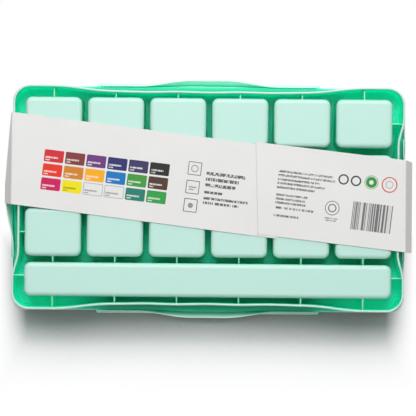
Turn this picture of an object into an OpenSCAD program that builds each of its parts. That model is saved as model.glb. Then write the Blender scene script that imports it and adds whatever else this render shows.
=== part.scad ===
// Paint set box: a moulded tray with wells for eighteen cups, a mixing palette,
// a lid with four finger wings, and a card band round the closed case.
// Millimetres. X runs along the case, the long brush trough is at -Y and the lid is up.
// The origin is on the table, under the middle of the case.

/* [Wells] */
// Length of a well across its flat bottom, along X
well_l = 45.1; // [42:0.1:48]
// Width of a well across its flat bottom, along Y
well_w = 38.6; // [36:0.1:42]
// Gap between neighbouring wells in one row
column_gap = 4.7; // [4.5:0.1:7]
// Gap between neighbouring rows
row_gap = 5.9; // [5.5:0.1:8]
// Gap between the last row and the brush trough
trough_gap = 5.1; // [4.5:0.1:8]
// Width of the brush trough
trough_w = 26.9; // [22:0.1:32]
// Plan radius of the corners of wells and trough
well_r = 5; // [4:0.5:7]

/* [Case] */
// Distance from the end wells to the outside of the skirt
end_margin = 10.1; // [9:0.1:12]
// Distance from the first row to the outside of the skirt
back_margin = 9.8; // [9:0.1:12]
// Distance from the trough to the outside of the skirt
front_margin = 10.8; // [9:0.1:12]
// Plan radius of the corners of the skirt
corner_r = 14; // [12:0.5:18]
// Height of the top of the deck, where the cups hang
deck_z = 30; // [28:0.5:32]
// Height of the top of the lid
lid_top_z = 40.3; // [40:0.1:41]
// Wall thickness of tray and lid
wall_t = 1.3; // [1.1:0.1:1.5]
// Thickness of the skirt
skirt_t = 1.6; // [1.2:0.1:1.8]
// Depth of the bow in the skirt behind each finger wing
bow_depth = 4.3; // [2:0.1:4.5]
// Reach of the lid past the skirt on the short sides
end_lip = 3; // [2.4:0.1:3.4]
// Reach of the lid past the skirt on the long sides
side_lip = 1.2; // [1.2:0.1:1.6]
// Plan radius of the corners of the lid
lid_r = 12; // [10:0.5:13]

/* [Finger wings] */
// Half length of the wings on the long sides
long_wing_half = 91; // [70:1:95]
// Half length of the wings on the short sides
short_wing_half = 52; // [46:1:56]
// Reach of the short sides' wings past the skirt
end_wing_reach = 8; // [6:0.5:9]
// Reach of the long sides' wings past the skirt
side_wing_reach = 6.8; // [5:0.1:8]

/* [Cups and palette] */
// Clearance between a cup and the wall of its well
cup_clearance = 0.5; // [0.4:0.1:0.8]
// Wall thickness of a cup
cup_t = 0.8; // [0.6:0.1:1]
// Width of a cup's flange outside the mouth of its well
flange_w = 1.5; // [1:0.1:2]
// Height of the gouache in a cup
paint_top_z = 28; // [20:0.5:28]
// Thickness of the palette
palette_t = 0.9; // [0.8:0.1:1.2]

/* [Card band] */
// Thickness of the card
card_t = 0.4; // [0.3:0.05:0.4]
// Width of the band, square to its long edges
band_w = 73.2; // [50:0.1:80]
// Angle at which the band lies across the case
band_angle = 6.45; // [0:0.05:7]
// Y of the middle of the band where it crosses X = 0
band_y = 13; // [0:0.5:16]
// X of the edge of the glued overlap
lap_x = -39.2; // [-60:0.1:-30]

/* [Hidden] */
$fn = 48;
COLUMNS = 6;
ROWS = 3;
CUPS = COLUMNS * ROWS;

// plan sizes
column_pitch = well_l + column_gap;
row_pitch = well_w + row_gap;
trough_l = (COLUMNS - 1) * column_pitch + well_l;
case_l = trough_l + 2 * end_margin;
case_w = back_margin + ROWS * well_w + (ROWS - 1) * row_gap + trough_gap + trough_w + front_margin;
first_row_y = case_w / 2 - back_margin - well_w / 2;
last_row_y = first_row_y - (ROWS - 1) * row_pitch;
trough_y = -case_w / 2 + front_margin + trough_w / 2;

// heights
well_z = 0.9;
skirt_z = 1.4;
rib_z = 3;
rim_z = deck_z + 5.5;
flange_t = 1;
foil_t = 0.15;
palette_z = deck_z + flange_t + foil_t + 0.15;
palette_top_z = rim_z - 0.3;
wing_z = 27.5;
ledge_z = deck_z + 3.5;

// steps between the skirt, the edge of the deck, the rim and the lid
deck_lip = 0.4;
rim_inset = 0.8;
lid_gap = 0.1;
palette_gap = 0.8;
palette_inset = rim_inset + wall_t + palette_gap;
palette_size = [case_l, case_w] + 2 * (deck_lip - palette_inset) * [1, 1];
rib_t = 1.1;
trough_rib = 3;

// the palette's dishes: the web between them and the radius of their corners
dish_gap = 6;
dish_r = 7;

// the bows in the skirt: the half length of the flat part, and where the bow ends
long_bow = [72, 126];
short_bow = [41, 60];

// the wings: width of the plain ledge past the skirt, where their lips start, the half length
// of each flare, and how far a lip stops short of its ledge's end
ledge_reach = 3.6;
lip_reach = 0.9;
lip_root_part = 0.2;
long_flare = [13, 58];
short_flare = [2, 42];
end_gap = 2;
STEPS = 12;

PAINTS = [
    "#a8182a", "#7c1f33", "#5b3189", "#2b3a94", "#1e2d5c", "#1b1a1c",
    "#d8321f", "#b9812b", "#f0b21c", "#1c6fbe", "#2f8c46", "#4f3524",
    "#c42a78", "#f4dd2a", "#f3f1ea", "#eeece6", "#1c7f80", "#1f6b45"
];

function two_digits(n) = str(n < 10 ? "0" : "", n);
function numbered(word) = [for (n = [1 : CUPS]) str(word, two_digits(n))];

// Place of cup n in plan: the rows run from the back, each from -X to +X.
function cup_place(n) = [
    ((n - 1) % COLUMNS - (COLUMNS - 1) / 2) * column_pitch,
    first_row_y - floor((n - 1) / COLUMNS) * row_pitch
];

// A smooth step from 0 to 1.
function smooth(u) = u <= 0 ? 0 : u >= 1 ? 1 : (1 - cos(180 * u)) / 2;

// 1 on the flat part of a span, falling to 0 at its end; s is the distance along the side.
function swell(s, span) = smooth((span[1] - abs(s)) / (span[1] - span[0]));

// Distances along a side that follow a span's two ramps.
function stations(span) = concat(
    [for (i = [0 : STEPS]) -span[1] + (span[1] - span[0]) * i / STEPS],
    [for (i = [0 : STEPS]) span[0] + (span[1] - span[0]) * i / STEPS]
);

// Distance from the middle of the case to the skirt's middle line, at s along a side.
function skirt_line(s, half, span) = half - bow_depth * swell(s, span) - skirt_t / 2;

// Two triangles for one four-sided face.
function quad(a, b, c, d) = [[a, b, c], [a, c, d]];

module rounded_rect(l, w, r) {
    square([l - 2 * r, w], center = true);
    square([l, w - 2 * r], center = true);
    for (sx = [-1, 1], sy = [-1, 1])
        translate([sx * (l / 2 - r), sy * (w / 2 - r)]) circle(r);
}

// A rounded block between two heights.
module block(l, w, r, z0, z1) {
    translate([0, 0, z0]) linear_extrude(z1 - z0) rounded_rect(l, w, r);
}

// The four sides of the case: turns its children so that +Y is outwards.
module each_side(long_sides) {
    for (turn = long_sides ? [0, 180] : [90, 270]) rotate(turn) children();
}

module at_wells() {
    for (n = [1 : CUPS]) translate(cup_place(n)) children();
}

// What the bow takes away from a side of the skirt.
module bow_cut(half, span) {
    line = [for (s = stations(span)) [s, half - bow_depth * swell(s, span)]];
    polygon(concat(line, [[span[1], half + 1], [-span[1], half + 1]]));
}

// The outline of the skirt, drawn in by an inset all round.
module skirt_outline(inset) {
    difference() {
        rounded_rect(case_l - 2 * inset, case_w - 2 * inset, corner_r - inset);
        each_side(true) bow_cut(case_w / 2 - inset, long_bow);
        each_side(false) bow_cut(case_l / 2 - inset, short_bow);
    }
}

module deck_outline(inset) {
    grow = deck_lip - inset;
    rounded_rect(case_l + 2 * grow, case_w + 2 * grow, corner_r + grow);
}

module lid_outline(inset) {
    rounded_rect(case_l + 2 * (end_lip - inset), case_w + 2 * (side_lip - inset), lid_r - inset);
}

module skirt() {
    translate([0, 0, skirt_z]) linear_extrude(deck_z - skirt_z) difference() {
        skirt_outline(0);
        skirt_outline(skirt_t);
    }
}

// A thin wall between two points, from the ribs' lower edge up to the deck.
module rib(a, b) {
    size = [abs(b.x - a.x) + rib_t, abs(b.y - a.y) + rib_t, deck_z - rib_z];
    translate([(a.x + b.x) / 2, (a.y + b.y) / 2, (deck_z + rib_z) / 2]) cube(size, center = true);
}

// The ribs stand on each column's centre line and at the end of each row.
module ribs() {
    well_end = trough_l / 2 - wall_t;
    for (c = [1 : COLUMNS]) {
        x = cup_place(c).x;
        side_y = skirt_line(x, case_w / 2, long_bow);
        rib([x, first_row_y + well_w / 2 - wall_t], [x, side_y]);
        rib([x, last_row_y - well_w / 2 + wall_t], [x, trough_y + trough_w / 2 - wall_t]);
        rib([x, trough_y - trough_w / 2 + wall_t], [x, -side_y]);
    }
    row_ys = [for (r = [0 : ROWS - 1]) first_row_y - r * row_pitch];
    for (side = [-1, 1], y = concat(row_ys, [trough_y + trough_rib]))
        rib([side * well_end, y], [side * skirt_line(y, case_l / 2, short_bow), y]);
}

// The open inside of a well or of the trough.
module hollow(l, w) {
    block(l - 2 * wall_t, w - 2 * wall_t, well_r - wall_t, well_z + wall_t, deck_z + 1);
}

// The tray: wells and trough hang from the deck, which the skirt carries all round.
module base_tray() {
    color("#2fd39a") difference() {
        union() {
            translate([0, 0, deck_z - wall_t]) linear_extrude(wall_t) deck_outline(0);
            at_wells() block(well_l, well_w, well_r, well_z, deck_z);
            translate([0, trough_y]) block(trough_l, trough_w, well_r, well_z, deck_z);
            translate([0, 0, deck_z]) linear_extrude(rim_z - deck_z) difference() {
                deck_outline(rim_inset);
                deck_outline(rim_inset + wall_t);
            }
            skirt();
            ribs();
        }
        at_wells() hollow(well_l, well_w);
        translate([0, trough_y]) hollow(trough_l, trough_w);
    }
}

// Distance of a wing's lip past the skirt: at its free edge, and where it leaves the ledge.
function lip(s, reach, flare) = lip_reach + (reach - wall_t - lip_reach) * swell(s, flare);
function lip_root(s, reach, flare) = lip_reach + lip_root_part * (lip(s, reach, flare) - lip_reach);

// The faces of a bar whose points come as four corners at each of m stations.
function bar_faces(m) = concat(
    [for (j = [0 : m - 2], k = [0 : 3])
        each quad(4 * j + k, 4 * j + (k + 1) % 4, 4 * j + 4 + (k + 1) % 4, 4 * j + 4 + k)],
    quad(3, 2, 1, 0),
    quad(4 * m - 4, 4 * m - 3, 4 * m - 2, 4 * m - 1)
);

// A wing on a side: a plain ledge with round ends, and under it a lip that flares out in the middle.
// The lid reaches past the skirt by past_skirt on that side.
module wing(half, past_skirt, wing_half, reach, flare) {
    lip_end = wing_half - end_gap;
    back = half + past_skirt - wall_t / 2;
    end_r = (ledge_reach - past_skirt) / 2;
    line = concat([-lip_end], stations(flare), [lip_end]);
    corners = [for (s = line)
        let (low = half + lip(s, reach, flare), high = half + lip_root(s, reach, flare))
        each [[s, low, wing_z], [s, high, ledge_z + wall_t / 2],
            [s, high + wall_t, ledge_z + wall_t / 2], [s, low + wall_t, wing_z]]
    ];
    polyhedron(corners, bar_faces(len(line)));
    translate([0, 0, ledge_z]) linear_extrude(wall_t) {
        translate([-wing_half, back]) square([2 * wing_half, half + ledge_reach - end_r - back]);
        translate([-wing_half + end_r, back]) square([2 * (wing_half - end_r), half + ledge_reach - back]);
        for (side = [-1, 1])
            translate([side * (wing_half - end_r), half + ledge_reach - end_r]) circle(end_r);
    }
}

// The lid: a shallow cover outside the tray's rim, with a panel sunk into its top.
module lid() {
    panel_inset = 16;
    panel_r = 6;
    panel_depth = 0.5;
    color("#7fe3bf") {
        difference() {
            translate([0, 0, deck_z + lid_gap]) linear_extrude(lid_top_z - deck_z - lid_gap) lid_outline(0);
            translate([0, 0, deck_z]) linear_extrude(lid_top_z - wall_t - deck_z) lid_outline(wall_t);
            translate([0, 0, lid_top_z - panel_depth]) linear_extrude(1)
                rounded_rect(case_l - 2 * panel_inset, case_w - 2 * panel_inset, panel_r);
        }
        each_side(true) wing(case_w / 2, side_lip, long_wing_half, side_wing_reach, long_flare);
        each_side(false) wing(case_l / 2, end_lip, short_wing_half, end_wing_reach, short_flare);
    }
}

// A row of equal dishes side by side, grown all round in plan.
module dish_row(count, width, y, grow, z0, z1) {
    pitch = palette_size.x / count;
    for (i = [0 : count - 1]) translate([(i - (count - 1) / 2) * pitch, y])
        block(pitch - dish_gap + 2 * grow, width + 2 * grow, dish_r + grow, z0, z1);
}

// The palette's dishes: a row of eight small ones at the back and two rows of four large ones.
module palette_dishes(grow, z0, z1) {
    small_w = 42;
    large_w = (palette_size.y - small_w - 4 * dish_gap) / 2;
    front_y = -palette_size.y / 2 + dish_gap + large_w / 2;
    dish_row(8, small_w, palette_size.y / 2 - dish_gap - small_w / 2, grow, z0, z1);
    dish_row(4, large_w, front_y + large_w + dish_gap, grow, z0, z1);
    dish_row(4, large_w, front_y, grow, z0, z1);
}

// A thin plate with shallow mixing dishes, lying on the cups under the lid.
module mixing_palette() {
    color("#f4f5f2") difference() {
        union() {
            translate([0, 0, palette_top_z - palette_t]) linear_extrude(palette_t)
                deck_outline(palette_inset);
            palette_dishes(0, palette_z, palette_top_z);
            translate([0, 0, palette_z]) linear_extrude(palette_top_z - palette_z) difference() {
                deck_outline(palette_inset);
                deck_outline(palette_inset + palette_t);
            }
        }
        palette_dishes(-palette_t, palette_z + palette_t, palette_top_z + 1);
    }
}

// Plan size of a cup's body and of its flange.
cup_size = [well_l, well_w] - (2 * wall_t + 2 * cup_clearance) * [1, 1];
cup_r = well_r - wall_t - cup_clearance;
flange_size = [well_l, well_w] + 2 * (flange_w - wall_t) * [1, 1];
cup_z = well_z + wall_t + 0.4;
cup_floor_t = 0.9;

// The open inside of a cup, up to a height.
module cup_inside(top_z) {
    block(cup_size.x - 2 * cup_t, cup_size.y - 2 * cup_t, cup_r - cup_t, cup_z + cup_floor_t, top_z);
}

// A cup hangs by its flange from the deck.
module cup(n) {
    color("#e9eeec") translate(cup_place(n)) difference() {
        union() {
            block(cup_size.x, cup_size.y, cup_r, cup_z, deck_z + flange_t);
            block(flange_size.x, flange_size.y, well_r, deck_z, deck_z + flange_t);
        }
        cup_inside(deck_z + flange_t + 1);
    }
}

// The gouache fills its cup to a level surface.
module paint(n) {
    color(PAINTS[n - 1]) translate(cup_place(n)) cup_inside(paint_top_z);
}

// The peel-off seal covers the flange and has a round pull tab at one corner.
module foil(n) {
    seal_inset = 0.4;
    seal = flange_size - 2 * seal_inset * [1, 1];
    tab_r = 4.8;
    tab_place = [seal.x / 2 - 4, -seal.y / 2 + 3.6];
    color(PAINTS[n - 1]) translate(cup_place(n)) translate([0, 0, deck_z + flange_t]) linear_extrude(foil_t) {
        rounded_rect(seal.x, seal.y, well_r - seal_inset);
        translate(tab_place) circle(tab_r);
    }
}

// The card band is one strip: out from the lap edge, round the lid, and back under the start.
// From the front edge (0) to the back edge (1) of the band, its places at the end at +X:
// the share of the way across, the X at wing height, and the X where it bends over the ledge.
band_foot_x = case_l / 2 + 0.7;
band_flare_x = case_l / 2 + end_wing_reach + 0.6;
band_ledge_x = case_l / 2 + ledge_reach + 0.5;
band_top_x = case_l / 2 + end_lip + 0.45;
band_ledge_z = ledge_z + wall_t + 0.5;
band_low_z = card_t / 2;
band_top_z = lid_top_z + 0.1 + card_t / 2;
lap_l = 15;
lap_ramp = [9, 3];
lap_z = 1.55 * card_t;
band_stations = [
    [0, band_flare_x, band_ledge_x],
    [0.2, band_flare_x, band_ledge_x],
    [0.8, band_ledge_x + 1.2, band_ledge_x],
    [1, band_top_x + 0.5, band_top_x + 0.2]
];

// The band's middle line in section, where the end at +X stands at flare and bends at ledge.
function band_line(flare, ledge) = [
    [lap_x, band_low_z],
    [-band_foot_x, band_low_z],
    [-band_flare_x, wing_z],
    [-band_ledge_x, band_ledge_z],
    [-band_top_x, band_top_z],
    [band_top_x, band_top_z],
    [ledge, band_ledge_z],
    [flare, wing_z],
    [band_foot_x, band_low_z],
    [lap_x + lap_ramp[0], band_low_z],
    [lap_x + lap_ramp[1], lap_z],
    [lap_x - lap_l, lap_z]
];

function unit(v) = v / norm(v);
function left_of(v) = [-v.y, v.x];

// The line moved sideways by half the card, with mitred corners.
function shifted(line, i, side) =
    let (a = i > 0 ? unit(line[i] - line[i - 1]) : unit(line[1] - line[0]))
    let (b = i < len(line) - 1 ? unit(line[i + 1] - line[i]) : a)
    let (m = unit(left_of(a) + left_of(b)))
    line[i] + side * card_t / 2 * m / (m * left_of(a));

// The band's points: for each station the outer line, then the inner line.
// The strip runs off true by the lap's offset, so that its two ends don't quite meet.
lap_offset = 1.7;
function band_points() = [
    for (st = band_stations, side = [1, -1])
        let (line = band_line(st[1], st[2]), last = len(line) - 1)
        for (i = [0 : last])
            let (p = shifted(line, i, side))
            [
                p.x,
                band_y + p.x * tan(band_angle) + (st[0] - 0.5) * band_w / cos(band_angle)
                    + lap_offset * (0.5 - i / last),
                p.y
            ]
];

function band_faces(n, m) =
    let (o = function (j, i) 2 * n * j + i)
    let (u = function (j, i) 2 * n * j + n + i)
    concat(
        [for (j = [0 : m - 2], i = [0 : n - 2])
            each quad(o(j, i), o(j, i + 1), o(j + 1, i + 1), o(j + 1, i))],
        [for (j = [0 : m - 2], i = [0 : n - 2])
            each quad(u(j + 1, i), u(j + 1, i + 1), u(j, i + 1), u(j, i))],
        [for (i = [0 : n - 2]) each quad(u(0, i), u(0, i + 1), o(0, i + 1), o(0, i))],
        [for (i = [0 : n - 2]) each quad(o(m - 1, i), o(m - 1, i + 1), u(m - 1, i + 1), u(m - 1, i))],
        [for (j = [0 : m - 2]) each quad(o(j, 0), o(j + 1, 0), u(j + 1, 0), u(j, 0))],
        [for (j = [0 : m - 2]) each quad(u(j, n - 1), u(j + 1, n - 1), o(j + 1, n - 1), o(j, n - 1))]
    );

module sleeve() {
    color("#e9e8e6")
        polyhedron(band_points(), band_faces(len(band_line(0, 0)), len(band_stations)));
}

base_tray();
lid();
mixing_palette();
sleeve();
for (n = [1 : CUPS]) {
    cup(n);
    foil(n);
    paint(n);
}
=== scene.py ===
"""Looks of the paint set box: tray, cups, palette, lid, card band, and the studio round them.

Shapes are written in millimetres in the shared frame and become metres when a mesh is finished.
"""

import logging
import math
from dataclasses import dataclass
from enum import Enum
from typing import Any, Callable, Sequence

import bmesh
import bpy
import numpy as np
from mathutils import Matrix, Vector


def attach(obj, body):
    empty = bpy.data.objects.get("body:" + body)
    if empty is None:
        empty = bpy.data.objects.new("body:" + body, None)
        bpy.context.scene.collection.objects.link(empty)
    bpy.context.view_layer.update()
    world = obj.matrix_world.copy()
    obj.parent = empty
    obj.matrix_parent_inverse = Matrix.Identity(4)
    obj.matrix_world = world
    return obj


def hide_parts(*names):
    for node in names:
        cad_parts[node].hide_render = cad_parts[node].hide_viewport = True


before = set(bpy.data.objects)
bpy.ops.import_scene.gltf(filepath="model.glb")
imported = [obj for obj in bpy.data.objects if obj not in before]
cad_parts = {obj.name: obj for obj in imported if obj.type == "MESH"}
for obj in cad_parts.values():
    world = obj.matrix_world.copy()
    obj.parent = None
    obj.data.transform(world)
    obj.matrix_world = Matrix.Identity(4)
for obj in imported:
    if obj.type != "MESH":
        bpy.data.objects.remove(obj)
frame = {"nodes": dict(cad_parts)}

LOG = logging.getLogger("paint_box")
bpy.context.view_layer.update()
MM = 0.001

Pair = tuple[float, float]
Point = tuple[float, float, float]
Turn = tuple[int, int, int]
Ring = list[Any]
Rings = list[tuple[list[Point], float]]


class Body(Enum):
    """The moving bodies of the frame."""

    BASE = "base"
    CUPS = "cup_set"
    PALETTE = "palette"
    COVER = "cover"
    BAND = "band"


class Side(Enum):
    """The sides of the case, by the angle that turns +Y to face outwards."""

    BACK = 0
    LEFT = 90
    FRONT = 180
    RIGHT = 270

    def point(self, s: float, out: float, z: float) -> Point:
        """A point at s along the side and out from the middle of the case."""
        cos_a, sin_a = math.cos(math.radians(self.value)), math.sin(math.radians(self.value))
        return (s * cos_a - out * sin_a, s * sin_a + out * cos_a, z)


class Paint(Enum):
    """The eighteen paints in the order of the cups: how each is printed, and how it looks in its cup."""

    CRIMSON = ("#c62832", "#a8182a")
    WINE_RED = ("#7a3234", "#7c1f33")
    VIOLET = ("#663275", "#5b3189")
    DEEP_BLUE = ("#262661", "#2b3a94")
    INDIGO = ("#343058", "#1e2d5c")
    BLACK = ("#161617", "#1b1a1c")
    SCARLET = ("#dc301c", "#d8321f")
    OCHRE = ("#c77c22", "#b9812b")
    WARM_YELLOW = ("#eea612", "#f0b21c")
    SKY_BLUE = ("#0a70b4", "#1c6fbe")
    LEAF_GREEN = ("#3c8f38", "#2f8c46")
    UMBER = ("#462d22", "#4f3524")
    ROSE = ("#c20f58", "#c42a78")
    LEMON = ("#e8d800", "#f4dd2a")
    WHITE = ("#dddcda", "#f3f1ea")
    SOFT_WHITE = ("#dcdbd9", "#eeece6")
    SEA_GREEN = ("#1f7565", "#1c7f80")
    DEEP_GREEN = ("#2a9440", "#1f6b45")

    def __init__(self, printed: str, wet: str) -> None:
        """Names the two colours."""
        self.printed, self.wet = printed, wet


# --------------------------------------------------------------------------- shader graphs


def linear(code: str) -> tuple[float, float, float, float]:
    """Turns a colour code such as #ffffff into the linear values that shaders take."""
    parts = [int(code[i : i + 2], 16) / 255 for i in (1, 3, 5)]
    return tuple(v / 12.92 if v <= 0.04045 else ((v + 0.055) / 1.055) ** 2.4 for v in parts) + (1.0,)


def operator(operation: str, last: bool = False) -> Callable[..., "Wire"]:
    """Makes a method of Wire.

    Args:
        operation: of the Math node that the method adds.
        last: whether the wire is the last value, as in 1 - mask.

    Returns:
        The method.
    """

    def act(wire: "Wire", *others: "Wire | float") -> "Wire":
        """Adds the node."""
        return wire.graph.math(operation, *((*others, wire) if last else (wire, *others)))

    return act


class Wire:
    """A shader socket that takes part in Python arithmetic."""

    def __init__(self, graph: "Graph", socket: bpy.types.NodeSocket) -> None:
        """Keeps the socket and the graph that new nodes go into."""
        self.graph, self.socket = graph, socket

    __add__ = __radd__ = operator("ADD")
    __mul__ = __rmul__ = operator("MULTIPLY")
    __sub__, __rsub__ = operator("SUBTRACT"), operator("SUBTRACT", last=True)
    __truediv__, __abs__ = operator("DIVIDE"), operator("ABSOLUTE")
    __lt__, __gt__ = operator("LESS_THAN"), operator("GREATER_THAN")
    floor, root = operator("FLOOR"), operator("SQRT")
    at_least, at_most = operator("MAXIMUM"), operator("MINIMUM")

    def clamped(self, most: float = 1.0) -> "Wire":
        """Kept between 0 and the most."""
        return self.at_least(0.0).at_most(most)


class Graph:
    """The node tree of one material, world or set of ribs."""

    def __init__(self, tree: bpy.types.NodeTree) -> None:
        """Empties the tree."""
        self.tree = tree
        tree.nodes.clear()

    def node(self, kind: str, sockets: dict[Any, Any] | None = None, **settings: Any) -> Any:
        """Makes one node.

        Args:
            kind: the node's type.
            sockets: values, colour codes or wires by socket name or number.
            **settings: its properties, set before its sockets; "stops" and "steps" are a ramp's.

        Returns:
            The node.
        """
        made = self.tree.nodes.new(kind)
        for name, value in settings.items():
            if name == "stops":
                ramp = made.color_ramp
                while len(ramp.elements) < len(value):
                    ramp.elements.new(0.5)
                for element, (place, code) in zip(ramp.elements, value):
                    element.position = place
                    element.color = linear(code)
            elif name == "steps":
                made.color_ramp.interpolation = value
            else:
                setattr(made, name, value)
        for name, value in (sockets or {}).items():
            if isinstance(value, Wire):
                self.tree.links.new(value.socket, made.inputs[name])
            else:
                is_code = isinstance(value, str) and value.startswith("#")
                made.inputs[name].default_value = linear(value) if is_code else value
        return made

    def wire(
        self, kind: str, sockets: dict[Any, Any] | None = None, output: str | int = 0, **settings: Any
    ) -> Wire:
        """Makes one node, as node() does, and gives one of its outputs."""
        return Wire(self, self.node(kind, sockets, **settings).outputs[output])

    def math(self, operation: str, *values: "Wire | float") -> Wire:
        """A Math node on one or two values."""
        return self.wire("ShaderNodeMath", dict(enumerate(values)), operation=operation)

    def mix(self, factor: "Wire | float", low: Any, high: Any) -> Wire:
        """A colour that goes from low to high."""
        return self.wire("ShaderNodeMix", {0: factor, 6: low, 7: high}, 2, data_type="RGBA")

    def ramp(self, value: Wire, stops: Sequence[tuple[float, str]], steps: str = "LINEAR") -> Wire:
        """A colour ramp on a value."""
        return self.wire("ShaderNodeValToRGB", {0: value}, steps=steps, stops=stops)

    def bands(self, value: Wire, codes: Sequence[str]) -> Wire:
        """One plain colour after the other, in equal steps of a value from 0 to 1."""
        return self.ramp(value, [(i / len(codes), code) for i, code in enumerate(codes)], "CONSTANT")

    def attribute(self, name: str, output: str = "Fac") -> Wire:
        """An attribute of the mesh."""
        return self.wire("ShaderNodeAttribute", None, output, attribute_name=name)

    def place(self) -> Wire:
        """Object coordinates, in metres."""
        return self.wire("ShaderNodeTexCoord", None, "Object")

    def parts(self, vector: Wire) -> list[Wire]:
        """The three values of a vector."""
        return [Wire(self, output) for output in self.node("ShaderNodeSeparateXYZ", {0: vector}).outputs]

    def noise(self, vector: Wire, scale: float, detail: float = 3.0, roughness: float = 0.5) -> Wire:
        """Noise from 0 to 1 on a vector."""
        sockets = {"Vector": vector, "Scale": scale, "Detail": detail, "Roughness": roughness}
        return self.wire("ShaderNodeTexNoise", sockets, "Fac")

    def vector(self, x: Any, y: Any, z: Any = 0.0) -> Wire:
        """A vector from three values."""
        return self.wire("ShaderNodeCombineXYZ", {0: x, 1: y, 2: z})

    def bump(self, height: Wire, distance: float, strength: float) -> Wire:
        """A bumped normal; distance is in metres."""
        return self.wire("ShaderNodeBump", {"Height": height, "Distance": distance, "Strength": strength})

    def shader(self, **sockets: Any) -> Wire:
        """A Principled shader; underlines in names stand for spaces."""
        return self.wire("ShaderNodeBsdfPrincipled", {key.replace("_", " "): value for key, value in sockets.items()})

    def blend(self, factor: Wire, first: Wire, second: Wire) -> Wire:
        """A mix of two shaders."""
        return self.wire("ShaderNodeMixShader", {0: factor, 1: first, 2: second})

    def end(self, shader: Wire, kind: str = "Material") -> None:
        """Ends the material or world in a shader."""
        self.node(f"ShaderNodeOutput{kind}", {0: shader})


def new_graph(name: str) -> tuple[bpy.types.Material, Graph]:
    """A new material.

    Args:
        name: its name.

    Returns:
        The material and its empty graph.
    """
    material = bpy.data.materials.new(name)
    material.use_nodes = True
    return material, Graph(material.node_tree)


# --------------------------------------------------------------------------- finishes


@dataclass(frozen=True)
class MouldedPlastic:
    """Frosted plastic whose colour holds painted light and shade: pale where open and lit, deep green in its
    channels.

    lit and lip_lit are painted light, given off in place of light through the plastic. The pairs after them are in
    metres, X then Y: where the corners, the channels and the front lip begin, and how far the painted light takes to
    grow from there.
    """

    name: str
    stops: tuple[tuple[float, str], ...]
    roughness: float = 0.34
    flow: float = 0.06
    grain: float = 0.00002
    deep_from: float = 0.45
    deep_run: float = 0.4
    glow: float = 0.0
    glow_reach: float = 0.012
    glow_tint: Point = (0.25, 1.0, 0.75)
    lit: Point = (0.0, 0.0, 0.0)
    lip_lit: Point = (0.17, 0.25, 0.22)
    corner: Pair = (0.08, 0.042)
    corner_run: Pair = (0.035, 0.02)
    channel: Pair = (0.1465, 0.078)
    channel_run: Pair = (0.003, 0.004)
    lip: Pair = (0.082, -0.0925)
    lip_run: Pair = (0.04, 0.003)
    lip_fade: float = 2.5
    back_share: float = 0.6
    back_gain: float = 0.4
    front_level: float = 0.76
    least_share: float = 0.12
    wall_share: float = 0.3

    def _painted_light(self, graph: Graph, place: Wire, depth: Wire) -> Wire:
        """Painted light in place of light through the skirt: strong in channels at the corners and along the back.

        Args:
            graph: the material's graph.
            place: object coordinates.
            depth: how deep in a channel a point is.

        Returns:
            The painted light that the surface gives off, with a painted highlight on the front wing's lip.
        """
        right, up, _ = graph.parts(place)
        x, y = abs(right), abs(up)
        back = (up > 0.0) * self.back_share
        along = ((x - self.corner[0]) / self.corner_run[0]).at_least(back).at_most(1.0)
        along = along * ((y - self.channel[1]) / self.channel_run[1]).at_most(1.0)
        ends = ((y - self.corner[1]) / self.corner_run[1]).at_most(1.0)
        ends = ends * ((x - self.channel[0]) / self.channel_run[0]).at_most(1.0)
        ends = ends * (x > self.channel[0]) * (y > self.corner[1])
        share = (self.least_share + along.at_least(ends) * (1 - self.least_share)).at_least(self.least_share)
        facing = graph.parts(graph.wire("ShaderNodeNewGeometry", None, "Normal"))[2]
        share = share * (self.front_level + back * self.back_gain)
        share = share * (self.wall_share + abs(facing) * (1 - self.wall_share))
        deep = ((depth - self.deep_from) / self.deep_run).clamped()
        colour = graph.mix(deep * share, (0.0, 0.0, 0.0, 1.0), self.lit + (1.0,))
        # Painted highlight on the pale lip of the front wing.
        lip = ((self.lip[1] - up) / self.lip_run[1]).clamped() * (1.0 - depth * self.lip_fade).at_least(0.0)
        return graph.mix(lip * ((self.lip[0] - x) / self.lip_run[0]).clamped(), colour, self.lip_lit + (1.0,))

    def material(self) -> bpy.types.Material:
        """Builds the material: a skin with painted light and shade, and in the channels a body that light wanders
        through.

        Returns:
            The material.
        """
        material, graph = new_graph(self.name)
        place = graph.place()
        cloud, grain = graph.noise(place, 38.0, 2.0), graph.noise(place, 900.0, 2.0, 0.6)
        # The hollow depth picks a colour that paints light and shade: pale where open and lit, deeper in channels and
        # recesses.
        depth = graph.attribute("hollow") + (cloud - 0.5) * self.flow
        skin = {
            "Base_Color": graph.ramp(depth * 0.8, self.stops),
            "Roughness": self.roughness + cloud * 0.1 + grain * 0.06,
            "Normal": graph.bump(grain + cloud * 6.0, self.grain, 0.5),
            "Specular_IOR_Level": 0.3,
        }
        if self.glow:
            skin |= {"Emission_Color": self._painted_light(graph, place, depth), "Emission_Strength": 1.0}
            deep = graph.shader(
                Subsurface_Weight=self.glow,
                Subsurface_Radius=self.glow_tint,
                Subsurface_Scale=self.glow_reach,
                **skin,
            )
            share = ((depth - self.deep_from) * 4.0).clamped()
            graph.end(graph.blend(share, graph.shader(**skin), deep))
        else:
            graph.end(graph.shader(**skin))
        return material


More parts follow.
